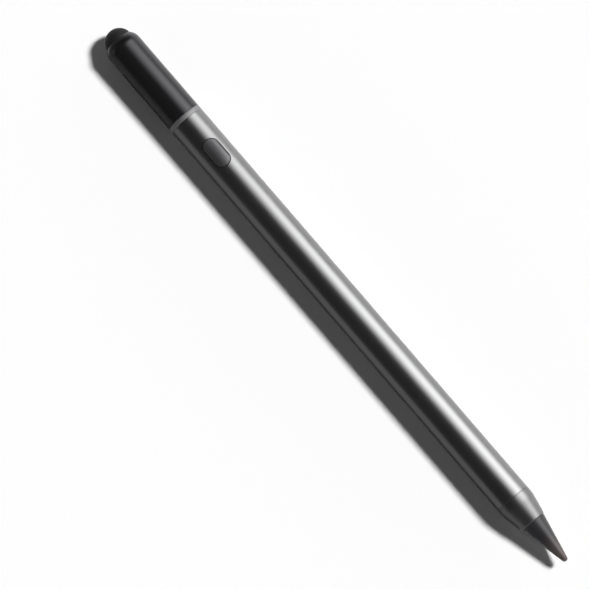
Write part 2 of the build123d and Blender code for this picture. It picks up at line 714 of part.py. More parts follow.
# Driver chip half way between spring and contact, with the crystal behind and the inductor in front
x_driver_chip = (x_spring_end + x_contact_foot) / 2
x_crystal = x_driver_chip - DRIVER_CHIP_SIZE / 2 - COMPONENT_SPACE - CRYSTAL_LENGTH / 2
x_inductor = x_driver_chip + DRIVER_CHIP_SIZE / 2 + COMPONENT_SPACE + INDUCTOR_SIZE / 2
with BuildPart() as driver_chip:
    with BuildSketch(level(x_driver_chip, board_top)):
        Rectangle(DRIVER_CHIP_SIZE, DRIVER_CHIP_SIZE)
    extrude(amount=DRIVER_CHIP_HEIGHT)
    chamfer(driver_chip.faces().sort_by(Axis.Z)[-1].edges(), CHIP_CHAMFER)
save(driver_chip, "driver_chip")

with BuildPart() as crystal:
    with BuildSketch(level(x_crystal, board_top)):
        Rectangle(CRYSTAL_LENGTH, CRYSTAL_WIDTH)
    extrude(amount=CRYSTAL_HEIGHT)
    chamfer(crystal.faces().sort_by(Axis.Z)[-1].edges(), CHIP_CHAMFER)
save(crystal, "crystal")

with BuildPart() as boost_inductor:
    with BuildSketch(level(x_inductor, board_top)):
        Rectangle(INDUCTOR_SIZE, INDUCTOR_SIZE)
    extrude(amount=INDUCTOR_HEIGHT)
    chamfer(boost_inductor.edges().filter_by(Axis.Z), INDUCTOR_CORNER)
    chamfer(boost_inductor.faces().sort_by(Axis.Z)[-1].edges(), CHIP_CHAMFER)
save(boost_inductor, "boost_inductor")

# Capacitors in a row along each side of the driver chip
capacitor_spread = DRIVER_CHIP_SIZE + 2 * CAPACITOR_CHIP_GAP + CAPACITOR_WIDTH
with BuildPart() as chip_capacitors:
    with BuildSketch(level(x_driver_chip, board_top)):
        with GridLocations(CAPACITOR_PITCH, capacitor_spread, CAPACITORS_PER_ROW, 2):
            Rectangle(CAPACITOR_LENGTH, CAPACITOR_WIDTH)
    extrude(amount=CAPACITOR_HEIGHT)
save(chip_capacitors, "chip_capacitors")
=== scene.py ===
import bmesh
import bpy
import math
from mathutils import Matrix, Vector


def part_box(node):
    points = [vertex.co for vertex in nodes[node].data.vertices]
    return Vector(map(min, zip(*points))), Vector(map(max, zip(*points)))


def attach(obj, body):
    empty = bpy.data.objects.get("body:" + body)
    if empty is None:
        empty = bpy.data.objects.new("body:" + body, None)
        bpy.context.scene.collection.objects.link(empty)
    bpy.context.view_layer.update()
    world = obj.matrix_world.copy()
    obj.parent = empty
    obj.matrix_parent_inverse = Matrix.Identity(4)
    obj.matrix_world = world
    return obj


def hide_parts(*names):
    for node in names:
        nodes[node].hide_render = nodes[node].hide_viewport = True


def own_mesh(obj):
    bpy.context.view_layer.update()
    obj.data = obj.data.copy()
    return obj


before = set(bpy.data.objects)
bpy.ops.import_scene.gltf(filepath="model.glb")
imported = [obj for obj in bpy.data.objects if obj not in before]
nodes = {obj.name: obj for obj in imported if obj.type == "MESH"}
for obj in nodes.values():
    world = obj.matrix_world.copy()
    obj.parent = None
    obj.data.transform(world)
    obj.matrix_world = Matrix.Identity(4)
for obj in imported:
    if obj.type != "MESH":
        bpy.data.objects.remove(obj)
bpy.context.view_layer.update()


# sizes read from the frame and sizes that several pieces share, in metres

def spanAlong(nodeName):
    low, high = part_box(nodeName)
    return low.x, high.x


def halfAcross(nodeName):
    low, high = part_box(nodeName)
    return (high.y - low.y) / 2


boreRadius = 0.0039  # inside of the barrel
bushWall = 0.0006
socketWall = 0.00065  # round the thread in the nib's core
coreReach = 0.004  # how far the core's thick end goes past the nose
pinRadius = 0.0005
pressGap = 0.00002  # between pieces fixed in one another
slipGap = 0.00005  # between pieces that screw or slide
weldGap = 1e-7  # points nearer than this become one
cutGap = 1e-8  # the same where a plane cuts and in small outlines
rimSlack = 2e-6  # how near a point has to be to count as on a rim

axisZ = (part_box("barrel")[0].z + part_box("barrel")[1].z) / 2
barrelRear, barrelFront = spanAlong("barrel")
barrelRadius = halfAcross("barrel")
spigotRadius = boreRadius - pressGap
ringRear = spanAlong("trim_ring")[0]
capEnd = spanAlong("cap_shell")[0]
tipEnd, tipHeadEnd = spanAlong("touch_tip")
noseRear, noseFront = spanAlong("nose_cone")
nibEnd = spanAlong("nib")[1]
coreRear, pinEnd = spanAlong("nib_core")
coreShoulder = noseFront + coreReach
coreRadius = halfAcross("nib_core")
bushRadius = coreRadius + bushWall
studRadius = coreRadius - socketWall
buttonX = sum(spanAlong("power_button")) / 2
print("frame loaded:", len(nodes), "nodes, axis height", round(axisZ * 1000, 3), "mm")


# small helpers for meshes

def vertsOf(geom):
    return [item for item in geom if isinstance(item, bmesh.types.BMVert)]


def allOf(bm):
    return bm.verts[:] + bm.edges[:] + bm.faces[:]


def openEdges(bm):
    return [edge for edge in bm.edges if edge.is_boundary]


def faceOut(bm):
    bmesh.ops.recalc_face_normals(bm, faces=bm.faces[:])


def weld(bm, gap):
    bmesh.ops.remove_doubles(bm, verts=bm.verts[:], dist=gap)


def roundOff(bm, geom, width, segments=3, affect="EDGES"):
    return bmesh.ops.bevel(bm, geom=geom, offset=width, offset_type="OFFSET", segments=segments, profile=0.5,
                           affect=affect, material=-1, clamp_overlap=True)["verts"]


def joinInto(bm, other):  # adds a second finished shape to the same piece
    carrier = bpy.data.meshes.new("carrier")
    other.to_mesh(carrier)
    other.free()
    bm.from_mesh(carrier)
    bpy.data.meshes.remove(carrier)


def addObject(name, data):
    made = bpy.data.objects.new(name, data)
    bpy.context.scene.collection.objects.link(made)
    return made


def addMesh(name, bm):
    mesh = bpy.data.meshes.new(name)
    bm.to_mesh(mesh)
    bm.free()
    return addObject(name, mesh)


def finishPiece(name, bm, material, body, replaced, sharp=50):
    piece = addMesh(name, bm)
    piece.data.shade_smooth()
    piece.data.set_sharp_from_angle(angle=math.radians(sharp))
    piece.data.materials.append(material)
    shading = piece.modifiers.new("evenShading", "WEIGHTED_NORMAL")
    shading.keep_sharp = True
    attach(piece, body)
    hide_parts(*replaced)
    return piece


# drawing profiles and turning them about the pen's axis

def startProfile(x, radius):
    bm = bmesh.new()
    first = bm.verts.new((x, 0, axisZ + radius))
    return bm, first


def linesTo(bm, last, points):
    for x, radius in points:
        last = bmesh.ops.extrude_vert_indiv(bm, verts=[last])["verts"][0]
        last.co = (x, 0, axisZ + radius)
    return last


def arcAbout(bm, last, x, radius, turn, steps):  # a positive turn leans from the pen's top towards the nib
    made = bmesh.ops.spin(bm, geom=[last], cent=(x, 0, axisZ + radius), axis=(0, 1, 0), angle=turn,
                          steps=steps)
    return made["geom_last"][0]


def closeProfile(bm, first, last):
    bm.edges.new((last, first))


def turnProfile(bm, segments):
    bmesh.ops.spin(bm, geom=bm.verts[:] + bm.edges[:], cent=(0, 0, axisZ), axis=(1, 0, 0),
                   angle=math.tau, steps=segments, use_merge=True)
    weld(bm, weldGap)
    faceOut(bm)


def turnedShape(points, segments, closed=True):
    bm, first = startProfile(*points[0])
    last = linesTo(bm, first, points[1:])
    if closed:
        closeProfile(bm, first, last)
    turnProfile(bm, segments)
    return bm


def softenRim(bm, x, radius, width, segments=3):
    def onRim(vert):
        away = math.hypot(vert.co.y, vert.co.z - axisZ) - radius
        return abs(vert.co.x - x) < rimSlack and abs(away) < rimSlack
    roundOff(bm, [edge for edge in bm.edges if all(onRim(vert) for vert in edge.verts)], width, segments)


# outlines seen from above, laid on a cylinder about the pen's axis

def flatRectangle(bm, length, width):
    corners = bmesh.ops.create_grid(bm, x_segments=1, y_segments=1, size=0.5)["verts"]
    bmesh.ops.scale(bm, vec=(length, width, 1), verts=corners)
    bmesh.ops.translate(bm, vec=(buttonX, 0, axisZ), verts=corners)
    return corners


def roundedOutline(bm, length, width, corner, segments):
    corners = flatRectangle(bm, length, width)
    return roundOff(bm, corners, corner, segments, "VERTICES")[0].link_faces[0]


def sliceAt(bm, patch, y):  # cuts a patch along the pen, so that it can follow the curve
    geom = list({item for face in patch if face.is_valid for item in (face, *face.edges, *face.verts)})
    made = bmesh.ops.bisect_plane(bm, geom=geom, dist=cutGap, plane_co=(buttonX, y, axisZ),
                                  plane_no=(0, 1, 0))
    patch.update(item for item in made["geom"] if isinstance(item, bmesh.types.BMFace))


def layOnCylinder(verts, radius, drop=0.0):
    for vert in verts:
        vert.co.z = axisZ + math.sqrt(radius ** 2 - vert.co.y ** 2) - drop


# shader groups that several finishes share

def link(tree, start, end):
    tree.links.new(start, end)


def addNode(tree, kind, **settings):
    node = tree.nodes.new(kind)
    for key, value in settings.items():
        setattr(node, key, value)
    return node


def setSockets(node, values):
    for socketName, value in values.items():
        node.inputs[socketName].default_value = value


def newGroup(name, inputs, outputs):
    group = bpy.data.node_groups.new(name, "ShaderNodeTree")
    for socketName, kind, value in inputs:
        socket = group.interface.new_socket(socketName, in_out="INPUT", socket_type=kind)
        if value is not None:
            socket.default_value = value
    for socketName in outputs:
        group.interface.new_socket(socketName, in_out="OUTPUT", socket_type="NodeSocketFloat")
    return group, group.nodes.new("NodeGroupInput"), group.nodes.new("NodeGroupOutput")


def makeGrainGroup():  # small even grain of a blasted or moulded surface
    group, start, end = newGroup(
        "fineGrain",
        [("Vector", "NodeSocketVector", None), ("Scale", "NodeSocketFloat", 6000.0),
         ("Softness", "NodeSocketFloat", 0.5)],
        ["Mask", "Height"])
    noise = addNode(group, "ShaderNodeTexNoise")
    noise.inputs["Detail"].default_value = 3.0
    cells = addNode(group, "ShaderNodeTexVoronoi")
    blend = addNode(group, "ShaderNodeMix", data_type="FLOAT")
    spread = addNode(group, "ShaderNodeMapRange")
    setSockets(spread, {"From Min": 0.3, "From Max": 0.7})
    for texture in (noise, cells):
        link(group, start.outputs["Vector"], texture.inputs["Vector"])
        link(group, start.outputs["Scale"], texture.inputs["Scale"])
    link(group, start.outputs["Softness"], blend.inputs["Factor"])
    link(group, cells.outputs["Distance"], blend.inputs["A"])
    link(group, noise.outputs["Fac"], blend.inputs["B"])
    link(group, blend.outputs["Result"], spread.inputs["Value"])
    link(group, spread.outputs["Result"], end.inputs["Mask"])
    link(group, blend.outputs["Result"], end.inputs["Height"])
    return group


def makeTurnedGroup():  # fine lines left round a turned or drawn metal piece, with broad handling marks
    group, start, end = newGroup(
        "turnedLines",
        [("Vector", "NodeSocketVector", None), ("Stretch", "NodeSocketVector", (1.0, 1.0, 1.0)),
         ("Scale", "NodeSocketFloat", 4000.0), ("Handling", "NodeSocketFloat", 60.0)],
        ["Lines", "Marks"])
    stretched = addNode(group, "ShaderNodeVectorMath", operation="MULTIPLY")
    lines = addNode(group, "ShaderNodeTexNoise")
    lines.inputs["Detail"].default_value = 2.0
    marks = addNode(group, "ShaderNodeTexNoise")
    setSockets(marks, {"Detail": 4.0, "Roughness": 0.6})
    link(group, start.outputs["Vector"], stretched.inputs[0])
    link(group, start.outputs["Stretch"], stretched.inputs[1])
    link(group, stretched.outputs["Vector"], lines.inputs["Vector"])
    link(group, start.outputs["Scale"], lines.inputs["Scale"])
    link(group, start.outputs["Vector"], marks.inputs["Vector"])
    link(group, start.outputs["Handling"], marks.inputs["Scale"])
    link(group, lines.outputs["Fac"], end.inputs["Lines"])
    link(group, marks.outputs["Fac"], end.inputs["Marks"])
    return group


grainGroup = makeGrainGroup()
turnedGroup = makeTurnedGroup()
print("shader groups made")


# finishes

def newFinish(name):
    material = bpy.data.materials.new(name)
    material.use_nodes = True
    tree = material.node_tree
    shader = tree.nodes["Principled BSDF"]
    coords = addNode(tree, "ShaderNodeTexCoord")
    return material, tree, shader, coords.outputs["Object"]


def placeIn(tree, kind="Object"):
    coords = addNode(tree, "ShaderNodeTexCoord")
    place = addNode(tree, "ShaderNodeSeparateXYZ")
    link(tree, coords.outputs[kind], place.inputs["Vector"])
    return place.outputs


def ranged(tree, source, low, high):
    spread = addNode(tree, "ShaderNodeMapRange")
    setSockets(spread, {"To Min": low, "To Max": high})
    link(tree, source, spread.inputs["Value"])
    return spread.outputs["Result"]


def softRamp(tree, source, start, full, low=0.0, high=1.0):
    ramp = addNode(tree, "ShaderNodeMapRange", interpolation_type="SMOOTHSTEP")
    setSockets(ramp, {"From Min": start, "From Max": full, "To Min": low, "To Max": high})
    link(tree, source, ramp.inputs["Value"])
    return ramp.outputs["Result"]


def times(tree, first, second):
    node = addNode(tree, "ShaderNodeMath", operation="MULTIPLY")
    link(tree, first, node.inputs[0])
    link(tree, second, node.inputs[1])
    return node.outputs["Value"]


def cover(tree, shader, look, mask, height):  # colour and roughness that vary with a mask, and fine relief
    blend = addNode(tree, "ShaderNodeMix", data_type="RGBA")
    setSockets(blend, {"A": (*look["dark"], 1.0), "B": (*look["light"], 1.0)})
    link(tree, mask, blend.inputs["Factor"])
    link(tree, blend.outputs["Result"], shader.inputs["Base Color"])
    roughen(tree, shader, look, mask, height)


def roughen(tree, shader, look, mask, height):
    link(tree, ranged(tree, mask, *look["roughness"]), shader.inputs["Roughness"])
    bump = addNode(tree, "ShaderNodeBump")
    setSockets(bump, {"Distance": look["depth"], "Strength": 1.0})
    link(tree, height, bump.inputs["Height"])
    link(tree, bump.outputs["Normal"], shader.inputs["Normal"])


def metalFinish(name, look):
    material, tree, shader, coords = newFinish(name)
    shader.inputs["Metallic"].default_value = look.get("metal", 1.0)
    lines = addNode(tree, "ShaderNodeGroup", node_tree=turnedGroup)
    setSockets(lines, {"Stretch": look["stretch"], "Scale": look["lineScale"], "Handling": look["markScale"]})
    link(tree, coords, lines.inputs["Vector"])
    cover(tree, shader, look, lines.outputs["Marks"], lines.outputs["Lines"])
    return material


def mouldedFinish(name, look):
    material, tree, shader, coords = newFinish(name)
    setSockets(shader, {"Metallic": look.get("metal", 0.0), "Specular IOR Level": look.get("gloss", 0.5),
                        "Specular Tint": (*look.get("sheen", (1.0, 1.0, 1.0)), 1.0)})
    grain = addNode(tree, "ShaderNodeGroup", node_tree=grainGroup)
    setSockets(grain, {"Scale": look["grainScale"], "Softness": look["softness"]})
    link(tree, coords, grain.inputs["Vector"])
    cover(tree, shader, look, grain.outputs["Mask"], grain.outputs["Height"])
    return material


# barrel: a drawn tube with a window for the button

barrelLook = {
    "segments": 192, "edge": 0.00007, "windowLength": 0.00775, "windowWidth": 0.00415, "windowCorner": 0.0019,
    "cornerSteps": 8, "windowEdge": 0.0001, "windowSlack": 0.0002, "patchHalfLength": 0.0047,
    "patchSteps": 18,
    "dark": (0.27, 0.27, 0.272), "light": (0.30, 0.30, 0.302), "roughness": (0.27, 0.35),
    "stretch": (1.0, 12.0, 12.0), "lineScale": 900.0, "markScale": 90.0, "depth": 0.0000012,
}


def makeBarrel(look, material):
    patchLow = buttonX - look["patchHalfLength"]
    patchHigh = buttonX + look["patchHalfLength"]
    edge = look["edge"]
    bm = turnedShape([(barrelRear + edge, barrelRadius), (patchLow, barrelRadius), (patchHigh, barrelRadius),
                      (barrelFront - edge, barrelRadius), (barrelFront, barrelRadius - edge),
                      (barrelFront, boreRadius), (patchHigh, boreRadius), (patchLow, boreRadius),
                      (barrelRear, boreRadius), (barrelRear, barrelRadius - edge)], look["segments"])
    step = math.tau / look["segments"]
    patchTurn = look["patchSteps"] * step

    def inPatch(face):
        centre = face.calc_center_median()
        turn = abs(math.atan2(centre.y, centre.z - axisZ))
        return patchLow < centre.x < patchHigh and turn < patchTurn

    def byWindow(vert):
        return (abs(vert.co.x - buttonX) < look["windowLength"] / 2 + look["windowSlack"]
                and abs(vert.co.y) < look["windowWidth"] / 2 + look["windowSlack"])

    def wallPatch(radius, hole):  # a patch of the wall round the window; gives back the window's edges
        corners = flatRectangle(bm, 2 * look["patchHalfLength"], 2 * radius * math.sin(patchTurn))
        outer = corners[0].link_faces[0]
        inner = roundedOutline(bm, *hole, look["cornerSteps"])
        loops = list(outer.edges) + list(inner.edges)
        bmesh.ops.delete(bm, geom=[outer, inner], context="FACES_ONLY")
        patch = set(bmesh.ops.bridge_loops(bm, edges=loops)["faces"])
        for count in range(-look["patchSteps"] + 1, look["patchSteps"]):
            sliceAt(bm, patch, radius * math.sin(count * step))
        verts = {vert for face in patch if face.is_valid for vert in face.verts}
        layOnCylinder(verts, radius)
        edges = {edge for vert in verts for edge in vert.link_edges if edge.is_boundary}
        return [edge for edge in edges if all(byWindow(vert) for vert in edge.verts)]
    bmesh.ops.delete(bm, geom=[face for face in bm.faces if inPatch(face)], context="FACES")
    window = (look["windowLength"], look["windowWidth"], look["windowCorner"])
    eased = tuple(size + 2 * look["windowEdge"] for size in window[:2]) + (window[2] + look["windowEdge"],)
    topLoop = wallPatch(barrelRadius, eased)
    lowLoop = wallPatch(boreRadius, window)
    lip = roundedOutline(bm, *window, look["cornerSteps"])
    lipEdges = list(lip.edges)
    lipVerts = list(lip.verts)
    bmesh.ops.delete(bm, geom=[lip], context="FACES_ONLY")
    layOnCylinder(lipVerts, barrelRadius, look["windowEdge"])
    for loop in (topLoop, lowLoop):
        bmesh.ops.bridge_loops(bm, edges=loop + lipEdges)
    weld(bm, weldGap)
    faceOut(bm)
    print("barrel made:", len(bm.faces), "faces,", len(openEdges(bm)), "open edges")
    finishPiece("barrelTube", bm, material, "body", ["barrel"], sharp=40)


makeBarrel(barrelLook, metalFinish("graphiteAluminium", barrelLook))


# trim ring between cap and barrel

ringLook = {
    "segments": 160, "edge": 0.00012,
    "dark": (0.31, 0.31, 0.316), "light": (0.35, 0.35, 0.356), "roughness": (0.54, 0.62), "metal": 0.87,
    "stretch": (1.0, 1.0, 1.0), "lineScale": 9000.0, "markScale": 400.0, "depth": 0.000003,
}


def makeRing(look, material):
    bm = turnedShape([(ringRear, barrelRadius), (barrelRear, barrelRadius), (barrelRear, boreRadius),
                      (ringRear, boreRadius)], look["segments"])
    for x in (ringRear, barrelRear):
        softenRim(bm, x, barrelRadius, look["edge"])
    finishPiece("trimRing", bm, material, "body", ["trim_ring"])


makeRing(ringLook, metalFinish("ringAluminium", ringLook))


# nose cone: land, blend and taper, with its spigot inside the barrel

noseLook = {
    "segments": 160, "edge": 0.00007, "land": 0.00095, "blendRadius": 0.0084, "taper": math.radians(11.3),
    "blendSteps": 10, "frontEdge": 0.0001,
    "dark": (0.235, 0.235, 0.237), "light": (0.265, 0.265, 0.267), "roughness": (0.31, 0.39),
    "stretch": (14.0, 1.0, 1.0), "lineScale": 900.0, "markScale": 120.0, "depth": 0.0000012,
}


def noseFrontRadius(look):
    straight = noseFront - barrelFront - look["land"] - look["blendRadius"] * math.sin(look["taper"])
    return (barrelRadius - look["blendRadius"] * (1 - math.cos(look["taper"]))
            - straight * math.tan(look["taper"]))


def makeNose(look, material):
    landEnd = barrelFront + look["land"]
    frontRadius = noseFrontRadius(look)
    bm, first = startProfile(barrelFront, barrelRadius - look["edge"])
    last = linesTo(bm, first, [(barrelFront + look["edge"], barrelRadius), (landEnd, barrelRadius)])
    last = arcAbout(bm, last, landEnd, barrelRadius - look["blendRadius"], look["taper"], look["blendSteps"])
    last = linesTo(bm, last, [(noseFront, frontRadius), (noseFront, bushRadius), (noseRear, bushRadius),
                              (noseRear, spigotRadius), (barrelFront, spigotRadius)])
    closeProfile(bm, first, last)
    turnProfile(bm, look["segments"])
    softenRim(bm, noseFront, frontRadius, look["frontEdge"])
    finishPiece("noseCone", bm, material, "body", ["nose_cone"], sharp=40)


makeNose(noseLook, metalFinish("graphiteNose", noseLook))


# nib: a cone with a rounded point, moulded round its core

nibLook = {
    "segments": 128, "step": 0.00017, "tipRadius": 0.00076, "tipSteps": 12, "edge": 0.00006,
    "dark": (0.017, 0.0157, 0.0183), "light": (0.0235, 0.0218, 0.0252), "tipColour": (0.083, 0.065, 0.061),
    "fadeStart": 0.0745, "fadeEnd": 0.082, "roughness": (0.29, 0.37), "grainScale": 7000.0, "softness": 0.6,
    "depth": 0.000002, "gloss": 0.7,
}


def nibFinish(look):  # turns lighter and warm grey towards the point: partly the resin's own warm tone, partly painted light standing in for light through the thin tip
    material = mouldedFinish("nibResin", look)
    tree = material.node_tree
    baseColour = tree.nodes["Principled BSDF"].inputs["Base Color"]
    # the lighter tip colour mixed in here is the resin's warm tone plus painted light through the thin point
    tipToneAndLight = addNode(tree, "ShaderNodeMix", data_type="RGBA")
    tipToneAndLight.inputs["B"].default_value = (*look["tipColour"], 1.0)
    link(tree, softRamp(tree, placeIn(tree)["X"], look["fadeStart"], look["fadeEnd"]), tipToneAndLight.inputs["Factor"])
    link(tree, baseColour.links[0].from_socket, tipToneAndLight.inputs["A"])
    link(tree, tipToneAndLight.outputs["Result"], baseColour)
    return material


def makeNib(look, material):
    base = noseFrontRadius(noseLook) - look["step"]
    reach = nibEnd - look["tipRadius"] - noseFront
    taper = math.atan2(base, reach) - math.asin(look["tipRadius"] / math.hypot(base, reach))
    bm, first = startProfile(nibEnd, 0)
    last = arcAbout(bm, first, nibEnd - look["tipRadius"], 0, -(math.pi / 2 - taper), look["tipSteps"])
    linesTo(bm, last, [(noseFront, base), (noseFront, coreRadius), (coreShoulder, coreRadius),
                       (coreShoulder, pinRadius), (pinEnd, pinRadius), (pinEnd, 0)])
    turnProfile(bm, look["segments"])
    softenRim(bm, noseFront, base, look["edge"])
    finishPiece("nibPoint", bm, material, "nib", ["nib"])


makeNib(nibLook, nibFinish(nibLook))


# cap with its rounded end

capLook = {
    "segments": 160, "endRadius": 0.0034, "shoulder": 0.001, "shoulderSteps": 18, "mouthWall": 0.0004,
    "wall": 0.0009, "endWall": 0.0014, "recess": 0.001, "stem": 0.0013, "neckGap": 0.0003, "edge": 0.0001,
    "rimEdge": 0.00005,
    "dark": (0.006, 0.006, 0.0065), "light": (0.009, 0.009, 0.0096), "roughness": (0.21, 0.27),
    "grainScale": 9000.0, "softness": 0.7, "depth": 0.0000015, "gloss": 0.72, "sheen": (0.96, 0.945, 1.0),
}


def makeCap(look, material):
    turn = math.acos(1 - look["shoulder"] / look["endRadius"])
    wallStart = capEnd + look["endRadius"] * math.sin(turn)
    recessRadius = barrelRadius - look["shoulder"]
    recessFloor = capEnd + look["recess"]
    endWall = recessFloor + look["endWall"]
    step = spanAlong("port_neck")[0] - look["neckGap"]
    hollow = barrelRadius - look["wall"]
    mouth = barrelRadius - look["mouthWall"]
    bm, first = startProfile(ringRear, barrelRadius - look["edge"])
    last = linesTo(bm, first, [(ringRear - look["edge"], barrelRadius), (wallStart, barrelRadius)])
    last = arcAbout(bm, last, wallStart, barrelRadius - look["endRadius"], -turn, look["shoulderSteps"])
    last = linesTo(bm, last, [(recessFloor, recessRadius), (recessFloor, look["stem"]),
                              (endWall, look["stem"]), (endWall, hollow), (step, hollow), (step, mouth),
                              (ringRear, mouth)])
    closeProfile(bm, first, last)
    turnProfile(bm, look["segments"])
    softenRim(bm, capEnd, recessRadius, look["rimEdge"])
    finishPiece("capShell", bm, material, "cap", ["cap_shell"])


makeCap(capLook, mouldedFinish("blackCap", capLook))


# soft dome in the cap's end, with its stem and head

domeLook = {
    "segments": 128, "crown": 0.00285, "gap": 0.00005, "steps": 24, "stem": 0.00128, "headRadius": 0.0018,
    "dark": (0.008, 0.008, 0.008), "light": (0.014, 0.014, 0.014), "roughness": (0.6, 0.75),
    "grainScale": 5000.0, "softness": 0.6, "depth": 0.000004, "gloss": 0.4,
}


def makeDome(look, material):
    radius = barrelRadius - capLook["shoulder"] - look["gap"]
    ball = (radius ** 2 + look["crown"] ** 2) / (2 * look["crown"])
    turn = math.acos(1 - look["crown"] / ball)
    recessFloor = capEnd + capLook["recess"]
    headStart = spanAlong("tip_retainer")[1]
    bm, first = startProfile(tipEnd, 0)
    last = arcAbout(bm, first, tipEnd + ball, 0, turn, look["steps"])
    linesTo(bm, last, [(recessFloor, radius), (recessFloor, look["stem"]), (headStart, look["stem"]),
                       (headStart, look["headRadius"]), (tipHeadEnd, look["headRadius"]), (tipHeadEnd, 0)])
    turnProfile(bm, look["segments"])
    finishPiece("touchDome", bm, material, "cap", ["touch_tip"])


makeDome(domeLook, mouldedFinish("tipRubber", domeLook))


# power button: a key that follows the barrel's curve, a flange under the wall and a post

buttonLook = {
    "length": 0.00751, "width": 0.00391, "corner": 0.00178, "cornerSteps": 10, "proud": 0.0002,
    "edge": 0.0003, "edgeSteps": 4, "slice": 0.00015, "flangeOver": 0.00057, "flangeGap": 0.00005,
    "flangeThick": 0.0007, "postRadius": 0.0009, "postEdge": 0.00008, "postSegments": 48,
    "dark": (0.15, 0.15, 0.156), "light": (0.185, 0.184, 0.192), "roughness": (0.38, 0.46),
    "grainScale": 4200.0, "softness": 0.5, "depth": 0.000004, "metal": 0.85,
}


def curvedTile(length, width, corner, topRadius, floorZ, look, edge=0.0):
    bm = bmesh.new()
    tile = roundedOutline(bm, length, width, corner, look["cornerSteps"])
    drops = {vert: edge for vert in tile.verts}
    for count in range(look["edgeSteps"] if edge else 0):  # rings that round the top edge off
        before = set(bm.verts)
        start, end = (math.sin(math.pi / 2 * turn / look["edgeSteps"]) for turn in (count, count + 1))
        bmesh.ops.inset_region(bm, faces=[tile], thickness=edge * (end - start), use_even_offset=True)
        for vert in set(bm.verts) - before:
            drops[vert] = edge * (1 - end)
    patch = {tile}
    count = int(width / 2 / look["slice"])
    for step in range(-count, count + 1):
        sliceAt(bm, patch, (step + 0.5) * look["slice"])
    for vert in bm.verts:
        layOnCylinder([vert], topRadius, drops.get(vert, 0.0))
    skirt = bmesh.ops.extrude_edge_only(bm, edges=openEdges(bm))["geom"]
    for vert in vertsOf(skirt):
        vert.co.z = floorZ
    bmesh.ops.holes_fill(bm, edges=openEdges(bm), sides=0)
    faceOut(bm)
    return bm


def makeButton(look, material):
    over = look["flangeOver"]
    flangeRadius = boreRadius - look["flangeGap"]
    flangeWidth = look["width"] + 2 * over
    under = axisZ + math.sqrt(flangeRadius ** 2 - (flangeWidth / 2) ** 2) - look["flangeThick"]
    middle = under + look["flangeThick"] / 2
    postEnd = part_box("power_button")[0].z
    bm = curvedTile(look["length"], look["width"], look["corner"], barrelRadius + look["proud"], middle, look,
                    look["edge"])
    flange = curvedTile(look["length"] + 2 * over, flangeWidth, look["corner"] + over, flangeRadius, under,
                        look)
    joinInto(bm, flange)
    post = bmesh.new()
    bmesh.ops.create_cone(post, cap_ends=True, segments=look["postSegments"], radius1=look["postRadius"],
                          radius2=look["postRadius"], depth=middle - postEnd)
    bmesh.ops.translate(post, vec=(buttonX, 0, (postEnd + middle) / 2), verts=post.verts[:])
    foot = [edge for edge in post.edges if all(vert.co.z < postEnd + rimSlack for vert in edge.verts)]
    roundOff(post, foot, look["postEdge"], segments=2)
    joinInto(bm, post)
    print("button made:", len(bm.faces), "faces,", len(openEdges(bm)), "open edges")
    finishPiece("powerKey", bm, material, "button", ["power_button"])


makeButton(buttonLook, mouldedFinish("buttonPlastic", buttonLook))
print("outer pieces made")


# charging neck: two jaws round the socket on a turned root with a seal groove and a spigot

neckLook = {
    "segments": 160, "portWidth": 0.00834, "portHeight": 0.00256, "portDepth": 0.0062, "relief": 0.0019,
    "grooveDepth": 0.00055, "grooveWidth": 0.0007, "sealBack": 0.0011, "bore": 0.0027, "edge": 0.0001,
    "grooveEdge": 0.00005, "jawEdge": 0.00008, "jawSink": 0.00005, "jawSteps": 72, "endSteps": 8,
    "dark": (0.47, 0.47, 0.48), "light": (0.57, 0.57, 0.575), "roughness": (0.24, 0.36),
    "stretch": (16.0, 1.0, 1.0), "lineScale": 800.0, "markScale": 150.0, "depth": 0.0000015,
}


def crossTo(bm, last, y, height):
    made = bmesh.ops.extrude_vert_indiv(bm, verts=[last])["verts"][0]
    made.co = (last.co.x, y, axisZ + height)
    return made


def crossArc(bm, last, y, turn, steps):  # a positive turn goes from the pen's side up towards its top
    made = bmesh.ops.spin(bm, geom=[last], cent=(last.co.x, y, axisZ), axis=(1, 0, 0), angle=turn,
                          steps=steps)
    return made["geom_last"][0]


def makeJaws(look, rear, radius):
    half = look["relief"] / 2
    side = math.sqrt(radius ** 2 - half ** 2)
    endRadius = look["portHeight"] / 2
    endCentre = look["portWidth"] / 2 - endRadius
    endTurn = math.acos(half / endRadius)
    jaw = bmesh.new()
    first = jaw.verts.new((rear, side, axisZ + half))
    last = crossArc(jaw, first, 0, math.pi - 2 * math.atan2(half, side), look["jawSteps"])
    last = crossTo(jaw, last, -endCentre - endRadius * math.sin(endTurn), half)
    last = crossArc(jaw, last, -endCentre, -endTurn, look["endSteps"])
    last = crossTo(jaw, last, endCentre, endRadius)
    last = crossArc(jaw, last, endCentre, -endTurn, look["endSteps"])
    closeProfile(jaw, first, last)
    weld(jaw, cutGap)
    bmesh.ops.edgeloop_fill(jaw, edges=jaw.edges[:])
    lip = jaw.edges[:]
    grown = bmesh.ops.extrude_face_region(jaw, geom=jaw.faces[:], use_keep_orig=True)["geom"]
    bmesh.ops.translate(jaw, vec=(look["portDepth"] + look["jawSink"], 0, 0), verts=vertsOf(grown))
    faceOut(jaw)
    roundOff(jaw, lip, look["jawEdge"], segments=2)
    lower = bmesh.ops.duplicate(jaw, geom=allOf(jaw))["geom"]
    bmesh.ops.rotate(jaw, cent=(0, 0, axisZ), matrix=Matrix.Rotation(math.pi, 3, "X"), verts=vertsOf(lower))
    return jaw


